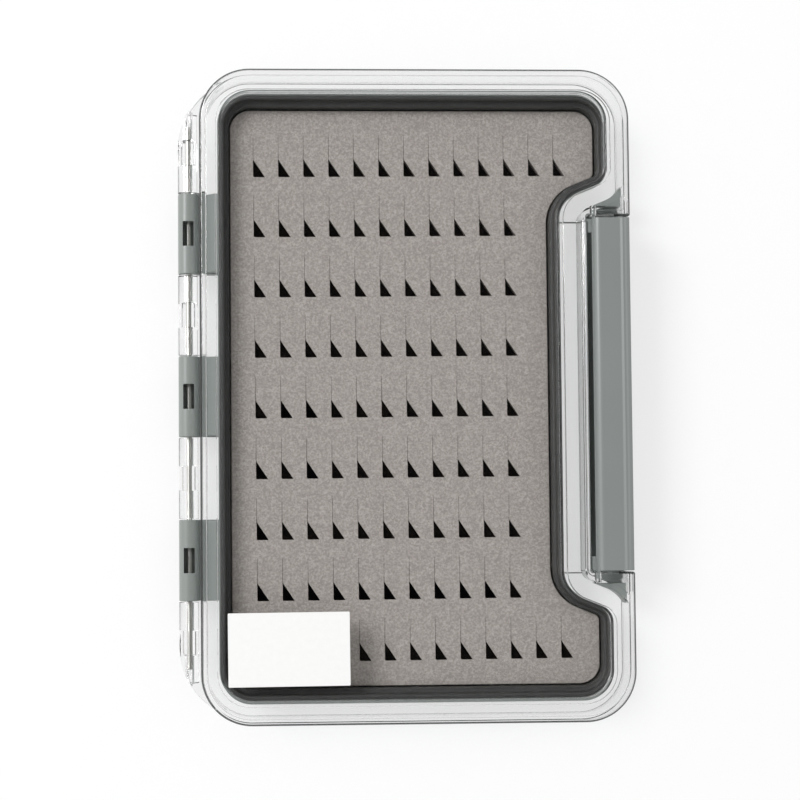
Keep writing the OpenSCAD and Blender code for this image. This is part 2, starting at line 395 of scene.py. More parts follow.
def block(name: str, x: Point, y: Point, z: Point, r: float = 0.0) -> Object:
    """Builds a box with rounded edges.

    Args:
        name: The object's name.
        x: Its lowest and highest x.
        y: Its lowest and highest y.
        z: Its lowest and highest z.
        r: Radius of all its edges, 0 for sharp ones.

    Returns:
        The new object.
    """

    def plan(inset: float) -> Outline:
        """Gives the box's outline, moved in.

        Args:
            inset: How far it moves in.

        Returns:
            Its points.
        """
        left, right, low, high = x[0] + inset, x[1] - inset, y[0] + inset, y[1] - inset
        spots = ((left, low), (right, low), (right, high), (left, high))
        return rounded([(*spot, max(r - inset, 0.0)) for spot in spots])

    if r <= 0:
        return stack(name, plan, [(0, z[0]), (0, z[1])])
    return stack(name, plan, [(min(inset, r * 0.98), height) for inset, height in edges(*z, r, r)])


def rod(name: str, x: float, z: float, r: float, y: Point, edge: float = 0.0, sides: int = 64) -> Object:
    """Turns a rod that lies along Y.

    Args:
        name: The object's name.
        x: The axis's x.
        z: The axis's height.
        r: The radius.
        y: Where it starts and ends.
        edge: Radius of the rounding at both ends.
        sides: How many flats the circle has.

    Returns:
        The new object.
    """
    profile = [(r - inset, at) for inset, at in edges(y[0], y[1], edge, edge)]
    turns = [2 * math.pi * k / sides for k in range(sides)]
    return solid(name, [[(x + q * math.cos(a), at, z + q * math.sin(a)) for a in turns] for q, at in profile])


def extrusion(name: str, profile: Sequence[Point], y: Point, edge: float) -> Object:
    """Extrudes a profile in X and Z along Y and rounds the edges of its ends.

    Args:
        name: The object's name.
        profile: The profile's points.
        y: Where it starts and ends.
        edge: Width of the rounding at both ends.

    Returns:
        The new object.
    """
    thing = solid(name, [[(u, at, v) for u, v in profile] for at in y])
    bevel = thing.modifiers.new("ends", "BEVEL")
    bevel.width, bevel.segments = edge * MM, 3
    bevel.limit_method, bevel.angle_limit = "ANGLE", math.radians(50)
    return settle(thing)


def settle(thing: Object) -> Object:
    """Writes an object's modifiers into its mesh.

    Args:
        thing: The object.

    Returns:
        The same object.
    """
    result = bpy.data.meshes.new_from_object(thing.evaluated_get(bpy.context.evaluated_depsgraph_get()))
    old, name = thing.data, thing.data.name
    thing.modifiers.clear()
    thing.data = result
    bpy.data.meshes.remove(old)
    result.name = name
    return thing


def work(thing: Object, how: Join, tools: Iterable[Object]) -> Object:
    """Works other solids into one and removes them.

    Args:
        thing: The solid that is worked on.
        how: The kind of join.
        tools: The solids that are added, cut away or kept in common.

    Returns:
        The solid that was worked on.
    """
    used = list(tools)
    for tool in used:
        step = thing.modifiers.new("work", "BOOLEAN")
        step.operation, step.solver, step.object = how.value, "MANIFOLD", tool
    settle(thing)
    for tool in used:
        mesh = tool.data
        bpy.data.objects.remove(tool)
        bpy.data.meshes.remove(mesh)
    return thing


def smooth(thing: Object, angle: float = 32.0) -> Object:
    """Shades an object smoothly up to an angle and keeps its flats flat.

    Args:
        thing: The object.
        angle: Edges sharper than this many degrees stay sharp.

    Returns:
        The same object.
    """
    form = bmesh.new()
    form.from_mesh(thing.data)
    bmesh.ops.remove_doubles(form, verts=form.verts, dist=0.002 * MM)
    bmesh.ops.dissolve_degenerate(form, edges=form.edges, dist=0.001 * MM)
    bmesh.ops.recalc_face_normals(form, faces=form.faces)
    for face in form.faces:
        face.smooth = True
    form.to_mesh(thing.data)
    form.free()
    thing.data.set_sharp_from_angle(angle=math.radians(angle))
    weighted = thing.modifiers.new("flats", "WEIGHTED_NORMAL")
    weighted.keep_sharp, weighted.weight = True, 100
    return settle(thing)


def dress(thing: Object, finish: Material, body: Body, slot: str, *nodes: str) -> Object:
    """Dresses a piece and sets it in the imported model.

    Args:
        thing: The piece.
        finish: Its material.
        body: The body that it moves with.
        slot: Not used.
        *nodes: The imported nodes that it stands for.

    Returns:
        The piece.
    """
    thing.data.materials.clear()
    thing.data.materials.append(finish)
    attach(thing, body.value)
    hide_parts(*nodes)
    log.info("%s rides on %s with %d faces", thing.name, body.value, len(thing.data.polygons))
    return thing


# Finishes


class Finish:
    """A surface finish. Each kind says how its own shader is built."""

    name: str

    def surface(self, tree: NodeTree) -> Node:
        """Builds the shader.

        Args:
            tree: The material's empty node tree.

        Returns:
            The shader's last node.
        """
        raise NotImplementedError

    def build(self) -> Material:
        """Makes the material.

        Returns:
            The material, named for what the real one is.
        """
        material = bpy.data.materials.new(self.name)
        material.use_nodes = True
        tree = material.node_tree
        tree.nodes.clear()
        add_node(tree, "OutputMaterial", {"Surface": self.surface(tree)})
        return material


@dataclass(frozen=True)
class ClearPolycarbonate(Finish):
    """Clear polycarbonate from a polished mould: glassy, with faint flow waves that bend its reflections.

    The steep part of the lid's outer edge is tinted dark: painted shade, for how clear plastic looks seen
    edgeways.
    """

    name: str = "clear_moulded_polycarbonate"
    tint: str = "#FEFEFE"
    # Painted shade: the dark colour that the lid's steep outer edge is tinted with
    edge: str = "#181A1A"
    painted_shade_slope: Point = (0.985, 0.9)
    painted_shade_z: Point = (16.6, 16.9)
    painted_shade_x: Point = (57.25, 57.45)
    painted_shade_y: Point = (88.5, 88.7)
    middle_x: float = 2.85
    straight: str = "#FBFCFC"
    ior: float = 1.585
    roughness: float = 0.015
    wave_mm: float = 14.0
    wave_depth_mm: float = 0.004

    def surface(self, tree: NodeTree) -> Node:
        """Builds the shader. Lamps and soft light pass straight through it, so that what it covers is lit.

        Args:
            tree: The material's empty node tree.

        Returns:
            The shader's last node.
        """
        where = add_node(tree, "TexCoord")
        spot = where.outputs["Object"]
        waves = add_node(tree, "TexNoise", {"Vector": spot, "Scale": per_metre(self.wave_mm), "Detail": 1.0})
        bump = add_node(tree, "Bump", {"Strength": 0.6, "Distance": self.wave_depth_mm * MM, "Height": waves})
        lean = add_node(tree, "SeparateXYZ", {0: where.outputs["Normal"]})
        at = add_node(tree, "SeparateXYZ", {0: spot})
        across = add_node(tree, "Math", {0: at.outputs["X"], 1: self.middle_x * MM}, operation="SUBTRACT")
        # Masks for the painted shade: steep faces, high up, near the lid's outer edge
        shares = []
        for reading, (low, high), unit in (
            (lean.outputs["Z"], self.painted_shade_slope, 1.0),
            (at.outputs["Z"], self.painted_shade_z, MM),
            (across, self.painted_shade_x, MM),
            (at.outputs["Y"], self.painted_shade_y, MM),
        ):
            # Without its sign, as a normal met from inside is turned round and the lid has two sides
            size = add_node(tree, "Math", {0: reading}, operation="ABSOLUTE")
            limits = {"From Min": low * unit, "From Max": high * unit}
            shares.append(add_node(tree, "MapRange", {"Value": size, **limits}))
        slope, height, beside, beyond = shares
        outside = add_node(tree, "Math", {0: beyond, 1: beside}, operation="MAXIMUM")
        steep = add_node(tree, "Math", {0: slope, 1: height}, operation="MULTIPLY")
        rim = add_node(tree, "Math", {0: steep, 1: outside}, operation="MULTIPLY")
        # Painted shade: the steep outer edge is mixed towards the dark edge colour
        colour = add_node(tree, "Mix", blend(rim, self.tint, self.edge), data_type="RGBA")
        glass = {"Roughness": self.roughness, "IOR": self.ior, "Transmission Weight": 1.0}
        body = add_node(tree, "BsdfPrincipled", {**glass, "Base Color": colour.outputs[2], "Normal": bump})
        through = add_node(tree, "BsdfTransparent", {"Color": linear(self.straight)})
        path = add_node(tree, "LightPath").outputs
        rays = {0: path["Is Shadow Ray"], 1: path["Is Diffuse Ray"]}
        either = add_node(tree, "Math", rays, operation="MAXIMUM")
        return add_node(tree, "MixShader", {0: either, 1: body, 2: through})


@dataclass(frozen=True)
class MouldedPlastic(Finish):
    """Opaque plastic from a spark-eroded mould: an even colour broken by a fine matt grain."""

    name: str
    colour: str
    shade: str
    ior: float = 1.53
    roughness: float = 0.34
    roughness_swing: float = 0.07
    grain_mm: float = 0.35
    grain_detail: float = 3.0
    grain_mix: float = 0.6
    grain_depth_mm: float = 0.012
    relief: float = 0.5
    drift_mm: float = 24.0
    drift_detail: float = 2.0

    def surface(self, tree: NodeTree) -> Node:
        """Builds the shader. The real grain is about 0.05 mm and is drawn coarser so that it shows.

        Args:
            tree: The material's empty node tree.

        Returns:
            The shader's last node.
        """
        spot = add_node(tree, "TexCoord").outputs["Object"]
        fine = {"Scale": per_metre(self.grain_mm), "Detail": self.grain_detail, "Roughness": self.grain_mix}
        grain = add_node(tree, "TexNoise", {"Vector": spot, **fine})
        broad = {"Scale": per_metre(self.drift_mm), "Detail": self.drift_detail}
        drift = add_node(tree, "TexNoise", {"Vector": spot, **broad})
        tone = add_node(tree, "Mix", blend(drift, self.shade, self.colour), data_type="RGBA")
        low, high = self.roughness - self.roughness_swing, self.roughness + self.roughness_swing
        rough = add_node(tree, "MapRange", {"Value": grain, "To Min": low, "To Max": high})
        bump = add_node(
            tree, "Bump", {"Strength": self.relief, "Distance": self.grain_depth_mm * MM, "Height": grain}
        )
        sockets = {"IOR": self.ior, "Base Color": tone.outputs[2], "Roughness": rough, "Normal": bump}
        return add_node(tree, "BsdfPrincipled", sockets)


@dataclass(frozen=True)
class SiliconeRubber(MouldedPlastic):
    """Moulded silicone rubber: dark, with a soft sheen and a light bloom of dust in patches."""

    name: str = "moulded_silicone_rubber"
    colour: str = "#424241"
    shade: str = "#393938"
    ior: float = 1.41
    roughness: float = 0.58
    roughness_swing: float = 0.08
    grain_mm: float = 0.3
    grain_detail: float = 2.0
    grain_mix: float = 0.5
    grain_depth_mm: float = 0.008
    relief: float = 0.4
    drift_mm: float = 3.0
    drift_detail: float = 3.0


@dataclass(frozen=True)
class ClosedCellFoam(Finish):
    """Cut closed-cell foam: matt, with a speckle of opened cells that are darker than the skin between."""

    name: str
    light: str
    dark: str
    speck: str
    cell_mm: float = 0.55
    cell_span: Point = (0.4, 0.62)
    mottle_mm: float = 2.6
    mottle_span: Point = (0.3, 0.7)
    pit_mm: float = 0.03

    def surface(self, tree: NodeTree) -> Node:
        """Builds the shader. The real cells are about 0.2 mm and are drawn coarser so that they show.

        Args:
            tree: The material's empty node tree.

        Returns:
            The shader's last node.
        """
        spot = add_node(tree, "TexCoord").outputs["Object"]
        cells, mottle = (
            add_node(tree, "TexNoise", {"Vector": spot, "Scale": per_metre(size), **rest})
            for size, rest in (
                (self.cell_mm, {"Detail": 4.0, "Roughness": 0.65}),
                (self.mottle_mm, {"Detail": 3.0, "Roughness": 0.6}),
            )
        )
        pits, patches = (
            add_node(tree, "MapRange", {"Value": noise, "From Min": low, "From Max": high})
            for noise, (low, high) in ((cells, self.cell_span), (mottle, self.mottle_span))
        )
        ground = add_node(tree, "Mix", blend(patches, self.dark, self.light), data_type="RGBA")
        sides = {6: linear(self.speck), 7: ground.outputs[2]}
        colour = add_node(tree, "Mix", {0: pits, **sides}, data_type="RGBA")
        bump = add_node(tree, "Bump", {"Strength": 0.8, "Distance": self.pit_mm * MM, "Height": cells})
        sockets = {"Roughness": 0.92, "IOR": 1.45, "Base Color": colour.outputs[2], "Normal": bump}
        return add_node(tree, "BsdfPrincipled", sockets)


@dataclass(frozen=True)
class DrawnSteel(Finish):
    """Drawn stainless wire: bright, with fine lines along its length that stretch the highlight."""

    name: str = "drawn_stainless_wire"
    colour: str = "#D2D1CD"
    line_mm: float = 0.12
    line_length_mm: float = 9.0
    line_depth_mm: float = 0.004
    roughness: Point = (0.36, 0.5)

    def surface(self, tree: NodeTree) -> Node:
        """Builds the shader.

        Args:
            tree: The material's empty node tree.

        Returns:
            The shader's last node.
        """
        fine, long = per_metre(self.line_mm), per_metre(self.line_length_mm)
        spot = add_node(tree, "TexCoord").outputs["Object"]
        stretch = add_node(tree, "Mapping", {"Vector": spot, "Scale": (fine, long, fine)})
        lines = add_node(tree, "TexNoise", {"Vector": stretch, "Scale": 1.0, "Detail": 2.0})
        low, high = self.roughness
        rough = add_node(tree, "MapRange", {"Value": lines, "To Min": low, "To Max": high})
        bump = add_node(tree, "Bump", {"Strength": 0.4, "Distance": self.line_depth_mm * MM, "Height": lines})
        sockets = {"Base Color": linear(self.colour), "Metallic": 1.0, "Roughness": rough, "Normal": bump}
        return add_node(tree, "BsdfPrincipled", sockets)


@dataclass(frozen=True)
class StickerVinyl(Finish):
    """Blank white sticker film: almost flat white with a faint calendered ripple."""

    name: str = "calendered_white_sticker"
    colour: str = "#FAFAF9"
    shade: str = "#F4F4F2"
    ripple_mm: float = 1.6
    ripple_depth_mm: float = 0.004

    def surface(self, tree: NodeTree) -> Node:
        """Builds the shader.

        Args:
            tree: The material's empty node tree.

        Returns:
            The shader's last node.
        """
        spot = add_node(tree, "TexCoord").outputs["Object"]
        fine = {"Scale": per_metre(self.ripple_mm), "Detail": 3.0}
        ripple = add_node(tree, "TexNoise", {"Vector": spot, **fine})
        tone = add_node(tree, "Mix", blend(ripple, self.shade, self.colour), data_type="RGBA")
        relief = {"Strength": 0.3, "Distance": self.ripple_depth_mm * MM}
        bump = add_node(tree, "Bump", {**relief, "Height": ripple})
        sockets = {"Roughness": 0.5, "IOR": 1.5, "Base Color": tone.outputs[2], "Normal": bump}
        return add_node(tree, "BsdfPrincipled", sockets)


@dataclass(frozen=True)
class SweepPaper(Finish):
    """White paper sweep under the box, lifted towards plain white, which keeps the soft shadow."""

    name: str = "white_paper_sweep"
    colour: str = "#FBFBFB"
    shade: str = "#F8F8F8"
    fibre_mm: float = 6.0
    lift: float = 0.64

    def surface(self, tree: NodeTree) -> Node:
        """Builds the shader. The lift is left out of the soft light that the paper throws on the box.

        Args:
            tree: The material's empty node tree.

        Returns:
            The shader's last node.
        """
        spot = add_node(tree, "TexCoord").outputs["Object"]
        fibre = add_node(tree, "TexNoise", {"Vector": spot, "Scale": per_metre(self.fibre_mm), "Detail": 3.0})
        tone = add_node(tree, "Mix", blend(fibre, self.shade, self.colour), data_type="RGBA")
        body = add_node(tree, "BsdfDiffuse", {"Color": tone.outputs[2]})
        white = add_node(tree, "Emission", {"Color": WHITE, "Strength": 1.0})
        soft = add_node(tree, "LightPath").outputs["Is Diffuse Ray"]
        left_out = add_node(tree, "Math", {0: self.lift, 1: soft}, operation="MULTIPLY")
        share = add_node(tree, "Math", {0: self.lift, 1: left_out}, operation="SUBTRACT")
        return add_node(tree, "MixShader", {0: share, 1: body, 2: white})


# Sub-assemblies


class Part:
    """One physical piece of the box. Each kind says how its mesh is built."""

    def build(self, finish: Material) -> Object:
        """Builds the piece and sets it in its place.

        Args:
            finish: Its material.

        Returns:
            The piece, dressed.
        """
        raise NotImplementedError


@dataclass(frozen=True)
class Hinge:
    """The hinge's shared sizes: seven knuckles in a row along one pin."""

    x: float = -62.0
    z: float = 9.0
    knuckle_r: float = 3.0
    knuckle_l: float = 23.2
    gap: float = 0.3
    pin_r: float = 0.75
    bore_gap: float = 0.05
    pin_short: float = 4.0
    window_l: float = 7.2
    window_w: float = 3.15
    window_depth: float = 1.65
    window_r: float = 0.25
    edge: float = 0.25
    tray_spots: tuple[int, ...] = (-2, 0, 2)
    lid_spots: tuple[int, ...] = (-3, -1, 1, 3)

    @property
    def pitch(self) -> float:
        """Distance from one knuckle's middle to the next."""
        return self.knuckle_l + self.gap

    @property
    def end(self) -> float:
        """Where the last knuckle ends."""
        return 3 * self.pitch + self.knuckle_l / 2

    def span(self, spot: int, spare: float = 0.0) -> Point:
        """Gives where a knuckle starts and ends along Y, with some to spare."""
        half = self.knuckle_l / 2 + spare
        return spot * self.pitch - half, spot * self.pitch + half

    def knuckle(self, spot: int) -> Object:
        """Turns one knuckle."""
        return rod("knuckle", self.x, self.z, self.knuckle_r, self.span(spot), self.edge)

    def bore(self) -> Object:
        """Gives the bore that runs through every knuckle."""
        return rod("bore", self.x, self.z, self.pin_r + self.bore_gap, WIDE)

    def window(self, spot: int) -> Object:
        """Gives the window that shows the pin through a knuckle.

        Args:
            spot: The knuckle's number along the pin, 0 in the middle.

        Returns:
            The solid that cuts it.
        """
        middle = spot * self.pitch
        return block(
            "window",
            (self.x - self.window_w / 2, self.x + self.window_w / 2),
            (middle - self.window_l / 2, middle + self.window_l / 2),
            (self.z - self.window_depth, self.z + self.knuckle_r + 2),
            self.window_r,
        )


@dataclass(frozen=True)
class Tray(Part):
    """The grey tray: floor, wall, gasket shelf and lip, the latch's rail, and three knuckles."""

    plan: BoxPlan
    hinge: Hinge
    floor_t: float = 1.8
    wall_t: float = 1.6
    wall_in: float = -2.45
    shelf_top: float = 10.8
    lip_t: float = 0.4
    lip_top: float = 13.0
    lip_pull: float = 0.3
    rail_in: float = 6.7
    post_in: float = 5.0
    rail_inner_x: float = 53.5
    rail_wall: float = 0.75
    rail_clear: float = 1.95
    rail_x: float = 63.05
    rail_top: float = 8.5
    rail_under: float = 4.8
    groove_x: float = 62.0
    bridge_top: float = 0.9
    bridge_x: Point = (43.9, 54.5)
    bridge_y: Point = (51.75, 52.05)
    post_top: float = 13.0
    post_clear: float = 1.8
    post_y: float = 54.4
    arm_t: float = 3.0
    ridge: tuple[tuple[float, float, float], ...] = (
        (-56.75, 8.0, 0.0),
        (-56.75, 10.4, 0.3),
        (-54.3, 12.6, 0.3),
        (-53.3, 12.6, 0.0),
        (-53.3, 8.0, 0.0),
    )

    def shell(self) -> list[Object]:
        """Builds the floor, the wall, and the shelf with its lip.

        Returns:
            The three solids, still apart.
        """
        plan, out, flap = self.plan, self.wall_in + self.wall_t, self.plan.end_flap
        low, under = self.floor_t - SINK, self.shelf_top - self.wall_t
        pull, press = plan.seal_pull, plan.seal_press
        slab = edges(0, self.floor_t, 0.5, 0)
        floor = stack("floor", lambda inset: plan.seal_line(out - inset, flap), slab)
        wall = sweep(
            "wall",
            plan.seal_line,
            [
                (out, low, 0, flap),
                (out, under + SINK, 0, flap),
                (self.wall_in, under + SINK, 0, flap),
                (self.wall_in, low, 0, flap),
            ],
        )
        shelf = sweep(
            "shelf",
            plan.seal_line,
            [
                (self.lip_t, under, 0.3, self.lip_pull, press),
                (self.lip_t, self.lip_top, 0.3, self.lip_pull, press),
                (0.0, self.lip_top, 0.3, pull, press),
                (0.0, self.shelf_top, 0.0, pull, press),
                (self.wall_in, self.shelf_top, 0.0, flap),
                (self.wall_in, under, 0.0, flap),
            ],
        )
        return [floor, wall, shelf]

    def storey(self, clear: float, z: Point, crown: float, y_in: float = 0.0, inside: float = 0.0) -> Object:
        """Builds one storey of the channel under the latch.

        Args:
            clear: How far it stays in from the lid's edge.
            z: Its lowest and highest z.
            crown: Radius of its upper edge.
            y_in: It is left out nearer the middle than this.
            inside: How far outside the seal line it starts, where that isn't the channel's own distance.

        Returns:
            The storey.
        """
        plan, reach = self.plan, self.plan.full_y + self.plan.full_r
        storey = stack("rail", lambda inset: plan.outline(clear + inset), edges(*z, 0, crown))
        keep = block("keep", (plan.hollow_x - plan.hollow_r, self.rail_x), (-reach, reach), TALL)
        work(storey, Join.INTERSECT, [keep])
        start, through = inside or self.rail_in, (z[0] - 1, z[1] + 1)
        cuts = [stack("inside", lambda inset: plan.seal_line(start + inset), [(0, v) for v in through])]
        if y_in:
            cuts.append(block("between", (0, 80), (-y_in, y_in), through))
        return work(storey, Join.DIFFERENCE, cuts)

    def rail(self) -> list[Object]:
        """Builds the latch's channel with its end covers and bridges, and the posts in the lid's corners.

        Returns:
            Its solids, still apart.
        """
        near, outside, top = self.rail_inner_x, self.rail_x + 1, self.rail_top
        pieces = []
        for low, high, roof, crown in (
            (near, outside, self.wall_t, 0.0),
            (near, near + self.rail_wall, top, 0.0),
            (self.groove_x - self.wall_t, outside, top, 0.3),
        ):
            whole = self.storey(self.rail_clear, (0.0, roof), crown)
            pieces.append(work(whole, Join.INTERSECT, [block("keep", (low, high), WIDE, TALL)]))
        cover, post = (top - self.wall_t, top), (top - 0.3, self.post_top)
        pieces.append(self.storey(self.rail_clear, cover, 0.3, self.plan.lug_y))
        pieces.append(self.storey(self.post_clear, post, 0.4, self.post_y, self.post_in))
        for side in (-1, 1):
            low, high = sorted(side * v for v in self.bridge_y)
            pieces.append(block("bridge", self.bridge_x, (low, high), (0.0, self.bridge_top)))
        return pieces

    def build(self, finish: Material) -> Object:
        """Builds the whole tray.

        Args:
            finish: Its material.

        Returns:
            The piece, dressed.
        """
        hinge, plan = self.hinge, self.plan
        tray, *added = self.shell()
        tray.name = tray.data.name = "tray"
        added += self.rail()
        across = (hinge.x, plan.lid_left + plan.rim - self.wall_in - SINK)
        spots, foot = hinge.tray_spots, hinge.z - hinge.knuckle_r
        added += [block("arm", across, hinge.span(spot), (foot, foot + self.arm_t), 0.2) for spot in spots]
        added += [extrusion("ridge", rounded(self.ridge), hinge.span(spot, -0.3), 0.2) for spot in spots]
        added += [hinge.knuckle(spot) for spot in spots]
        work(tray, Join.UNION, added)
        across, along = (self.groove_x, self.rail_x + 1), (-plan.lug_y, plan.lug_y)
        groove = block("groove", across, along, (-1, self.rail_under))
        windows = [hinge.window(spot) for spot in spots]
        work(tray, Join.DIFFERENCE, [groove, hinge.bore(), *windows])
        return dress(smooth(tray), finish, Body.BASE, "grey_plastic", "base")


@dataclass(frozen=True)
class Gasket(Part):
    """The rubber gasket: a rounded bead that seals against the lid, with a flap inside it that turns down."""

    plan: BoxPlan
    bead_w: float = 1.6
    end_bead: float = 0.6
    wall_in: float = -2.85
    shelf_top: float = 10.8
    bead_top: float = 13.8
    flap_t: float = 0.45
    skirt_t: float = 0.39
    skirt_bottom: float = 8.4

    def build(self, finish: Material) -> Object:
        """Builds the gasket.

        Args:
            finish: Its material.

        Returns:
            The piece, dressed.
        """
        flap, flap_top = self.plan.end_flap, self.shelf_top + self.flap_t
        pull, press = self.plan.seal_pull, self.plan.seal_press
        behind, inner = self.wall_in + self.skirt_t, -self.bead_w
        ring = sweep(
            "seal",
            self.plan.seal_line,
            [
                (0.0, self.shelf_top, 0.0, pull, press),
                (0.0, self.bead_top, 0.7, pull, press),
                (inner, self.bead_top, 0.5, self.end_bead, press / 2),
                (inner, flap_top, 0.8, self.end_bead, press / 2),
                (self.wall_in, flap_top, 0.25, flap),
                (self.wall_in, self.skirt_bottom, 0.1, flap),
                (behind, self.skirt_bottom, 0.1, flap),
                (behind, self.shelf_top, 0.0, flap),
            ],
        )
        return dress(smooth(ring, 50), finish, Body.BASE, "dark_rubber", "gasket")


@dataclass(frozen=True)
class FoamSheet(Part):
    """A foam sheet that fills the tray inside the gasket."""

    plan: BoxPlan
    z0: float
    z1: float
    foam_edge: float = -3.15

    def sheet(self, name: str, foot: float, crown: float) -> Object:
        """Cuts the sheet, with its lower and upper edges rounded by foot and crown."""
        plan, steps = self.plan, edges(self.z0, self.z1, foot, crown)
        return stack(name, lambda inset: plan.seal_line(self.foam_edge - inset, plan.end_flap), steps)

    def pad(self, sheet: Object, finish: Material, slot: str, node: str) -> Object:
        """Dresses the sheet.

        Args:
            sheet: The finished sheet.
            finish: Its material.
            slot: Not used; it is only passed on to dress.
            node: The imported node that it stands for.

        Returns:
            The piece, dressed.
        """
        piece = dress(sheet, finish, Body.BASE, slot, node)
        return piece


@dataclass(frozen=True)
class SlitFoam(FoamSheet):
    """The grey foam sheet with its rows of three-cornered cut-outs, each with a slit above it."""

    z0: float = 3.0
    z1: float = 8.0
    middle: Point = (-6.3, -0.91)
    turn: float = 0.27
    row_pitch: float = 17.564
    column_pitch: float = 7.312
    rows: int = 9
    columns: int = 11
    end_columns: int = 13
    cut_w: float = 3.45
    cut_h: float = 5.2
    cut_r: float = 0.42
    toe_r: float = 0.105
    tip_r: float = 0.03
    slit_l: float = 6.9
    slit_w: float = 0.1
    slit_taper: float = 0.6
    slit_depth: float = 0.7
    slit_foot: float = 0.9
    lip: float = 0.1
    undercut: float = 0.75

    def spots(self) -> list[Point]:
        """Gives the sharp upper corner of every cut-out. The sheet lies a little turned in its tray.

        Returns:
            The corners' places in plan.
        """
        out: list[Point] = []
        c, s = math.cos(math.radians(self.turn)), math.sin(math.radians(self.turn))
        for row in range(self.rows):
            v = (self.rows // 2 - row) * self.row_pitch
            columns = self.end_columns if row in (0, self.rows - 1) else self.columns
            for column in range(columns):
                u = (column - self.columns // 2) * self.column_pitch
                out.append((self.middle[0] + c * u - s * v, self.middle[1] + s * u + c * v))
        return out

    def cutter(self, shape: Callable[[Point, float], Outline], steps: Sequence[Point]) -> Object:
        """Builds one tool out of a prism for every cut-out.

        Args:
            shape: Gives a prism's outline for its place and how far it is flared.
            steps: Pairs of flare and height, from the bottom up.

        Returns:
            The tool.
        """
        rings = ([[(x, y, z) for x, y in shape(spot, flare)] for flare, z in steps] for spot in self.spots())
        return solid("cutter", *rings)

    def triangle(self, spot: Point, flare: float) -> Outline:
        """Gives a cut-out's outline, grown by flare.

        Args:
            spot: The cut-out's sharp upper corner.
            flare: How far it grows.

        Returns:
            Its points.
        """
        x, y = spot
        slant = math.hypot(self.cut_w, self.cut_h)
        # The offset corners of a right triangle with its square corner at the lower left
        left, low = x - flare, y - self.cut_h - flare
        reach = flare * (slant + self.cut_w) / self.cut_h
        rise = flare * (slant + self.cut_h) / self.cut_w
        top = (left, y + rise - flare, self.tip_r)
        return rounded([top, (left, low, self.cut_r), (x + self.cut_w + reach, low, self.toe_r)], 5)

    def slit(self, spot: Point, flare: float) -> Outline:
        """Gives a slit's outline, grown by flare. It narrows towards its upper end.

        Args:
            spot: The cut-out's sharp upper corner.
            flare: How far it grows.

        Returns:
            Its points.
        """
        x, y = spot
        wide = self.slit_w / 2 + flare
        narrow = wide * self.slit_taper
        foot, tip = y - self.slit_foot, y + self.slit_l
        return [(x - wide, foot), (x + wide, foot), (x + narrow, tip), (x - narrow, tip)]

    def build(self, finish: Material) -> Object:
        """Builds the foam sheet.

        Args:
            finish: Its material.

        Returns:
            The piece, dressed.
        """
        top, lip = self.z1, self.lip
        sheet = self.sheet("slit_sheet", 0.0, 0.3)
        holes = [
            (self.undercut, self.z0 - 0.5),
            (0, top - 0.6),
            (0, top - lip),
            (lip * 0.3, top - lip * 0.35),
            (lip, top),
            (lip * 1.6, top + 0.3),
        ]
        slits = [(-0.04, top - self.slit_depth), (0.0, top - 0.1), (0.03, top), (0.05, top + 0.2)]
        for shape, steps in ((self.triangle, holes), (self.slit, slits)):
            work(sheet, Join.DIFFERENCE, [self.cutter(shape, steps)])
        return self.pad(smooth(sheet, 40), finish, "grey_foam", "slit_foam")


@dataclass(frozen=True)
class FoamBacking(FoamSheet):
    """The black foam sheet that shows through the cut-outs."""

    z0: float = 1.8
    z1: float = 3.0

    def build(self, finish: Material) -> Object:
        """Builds the backing sheet."""
        return self.pad(smooth(self.sheet("backing_sheet", 0.1, 0.1)), finish, "black_foam", "foam_backing")


@dataclass(frozen=True)
class HingePin(Part):
    """The steel wire that the knuckles turn on, with its cut ends broken."""

    hinge: Hinge
    chamfer: float = 0.15

    def build(self, finish: Material) -> Object:
        """Builds the pin.

        Args:
            finish: Its material.

        Returns:
            The piece, dressed.
        """
        hinge = self.hinge
        reach = hinge.end - hinge.pin_short
        wire = rod("pin_wire", hinge.x, hinge.z, hinge.pin_r, (-reach, reach), self.chamfer, 48)
        return dress(smooth(wire, 50), finish, Body.BASE, "steel", "hinge_pin")


